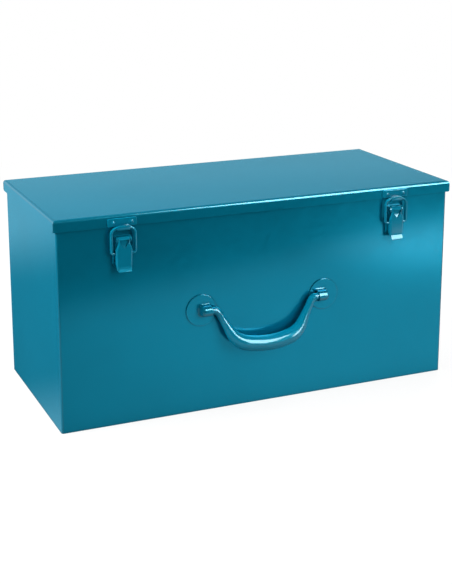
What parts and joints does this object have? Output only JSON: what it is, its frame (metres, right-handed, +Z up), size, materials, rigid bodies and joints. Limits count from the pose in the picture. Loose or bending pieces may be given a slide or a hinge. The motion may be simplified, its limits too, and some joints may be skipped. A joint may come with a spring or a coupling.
{
  "type": "metal tool case",
  "caption": "Long painted sheet-steel tool case with a hinged skirted lid, toggle latches and a drop handle on its front face.",
  "frame": {"origin": "middle of the underside of the case, on the surface it stands on", "axes": "+X along the length to the right as seen from the front, +Y to the rear, +Z up"},
  "size_m": [0.557, 0.2826, 0.274],
  "materials": {
    "body_paint": "glossy teal enamel",
    "hardware_paint": "glossy teal enamel"
  },
  "bodies": {
    "case": {"front_wrap": "body_paint", "back_panel": "body_paint", "floor_pan": "body_paint", "handle_backing_plate": "body_paint", "latch_base_rivets": "hardware_paint", "hinge_body_rivets": "hardware_paint", "left_handle_bracket": "hardware_paint", "left_latch_base": "hardware_paint", "left_lever_pin": "hardware_paint", "left_hinge_body_leaf": "hardware_paint", "left_hinge_pin": "hardware_paint", "right_handle_bracket": "hardware_paint", "right_latch_base": "hardware_paint", "right_lever_pin": "hardware_paint", "right_hinge_body_leaf": "hardware_paint", "right_hinge_pin": "hardware_paint"},
    "lid": {"lid_shell": "body_paint", "keeper_rivets": "hardware_paint", "hinge_lid_rivets": "hardware_paint", "left_keeper": "hardware_paint", "left_hinge_lid_leaf": "hardware_paint", "right_keeper": "hardware_paint", "right_hinge_lid_leaf": "hardware_paint"},
    "handle": {"carry_handle": "hardware_paint"},
    "left_lever": {"left_latch_lever": "hardware_paint"},
    "left_bail": {"left_latch_bail": "hardware_paint"},
    "right_lever": {"right_latch_lever": "hardware_paint"},
    "right_bail": {"right_latch_bail": "hardware_paint"}
  },
  "joints": [
    {"name": "lid_hinge", "type": "hinge", "parent": "case", "child": "lid", "pos_m": [0, 0.1274, 0.255], "axis": [-1, 0, 0], "range_deg": [0, 105]},
    {"name": "handle_swing", "type": "hinge", "parent": "case", "child": "handle", "pos_m": [0, -0.1288, 0.137], "axis": [-1, 0, 0], "range_deg": [0, 163]},
    {"name": "left_lever_swing", "type": "hinge", "parent": "case", "child": "left_lever", "pos_m": [-0.192, -0.1275, 0.2435], "axis": [-1, 0, 0], "range_deg": [0, 135]},
    {"name": "left_bail_swing", "type": "hinge", "parent": "left_lever", "child": "left_bail", "pos_m": [-0.192, -0.1284, 0.226], "axis": [1, 0, 0], "range_deg": [0, 175.5]},
    {"name": "right_lever_swing", "type": "hinge", "parent": "case", "child": "right_lever", "pos_m": [0.192, -0.1275, 0.2435], "axis": [-1, 0, 0], "range_deg": [0, 135]},
    {"name": "right_bail_swing", "type": "hinge", "parent": "right_lever", "child": "right_bail", "pos_m": [0.192, -0.1284, 0.226], "axis": [1, 0, 0], "range_deg": [0, 175.5]}
  ],
  "couplings": [
    {"joint": "left_bail_swing", "follows": "left_lever_swing", "ratio": 1.3},
    {"joint": "right_bail_swing", "follows": "right_lever_swing", "ratio": 1.3}
  ]
}
